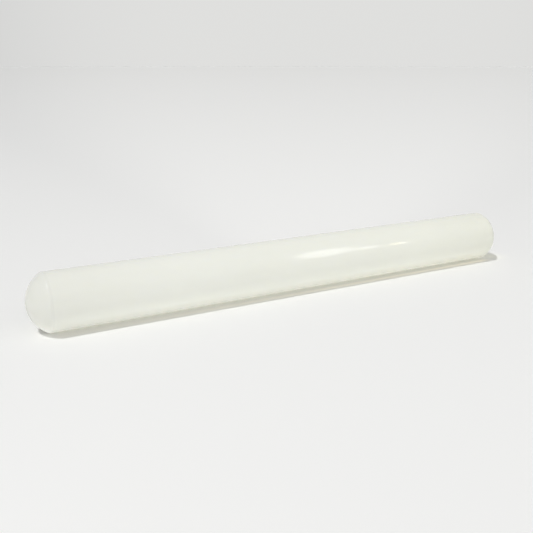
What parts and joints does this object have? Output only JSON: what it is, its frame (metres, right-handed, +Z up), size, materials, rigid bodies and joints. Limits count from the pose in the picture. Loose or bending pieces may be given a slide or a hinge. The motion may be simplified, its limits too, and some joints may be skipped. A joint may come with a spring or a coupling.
{
  "type": "fondant rolling pin",
  "caption": "Long plain rolling pin without handles for sheeting fondant: a hollow milky plastic tube closed flush by domed, ribbed push-in plugs.",
  "frame": {"origin": "the middle of the pin's underside, on the surface that it lies on", "axes": "+X along the pin's axis towards its right end, which is the far end in the picture; +Z up from the surface; +Y away from the picture's camera"},
  "size_m": [0.5, 0.05, 0.05],
  "materials": {
    "barrel_plastic": "satin",
    "plug_plastic": "satin"
  },
  "bodies": {
    "root": {"barrel_tube": "barrel_plastic", "left_end_plug": "plug_plastic", "right_end_plug": "plug_plastic"}
  },
  "joints": []
}
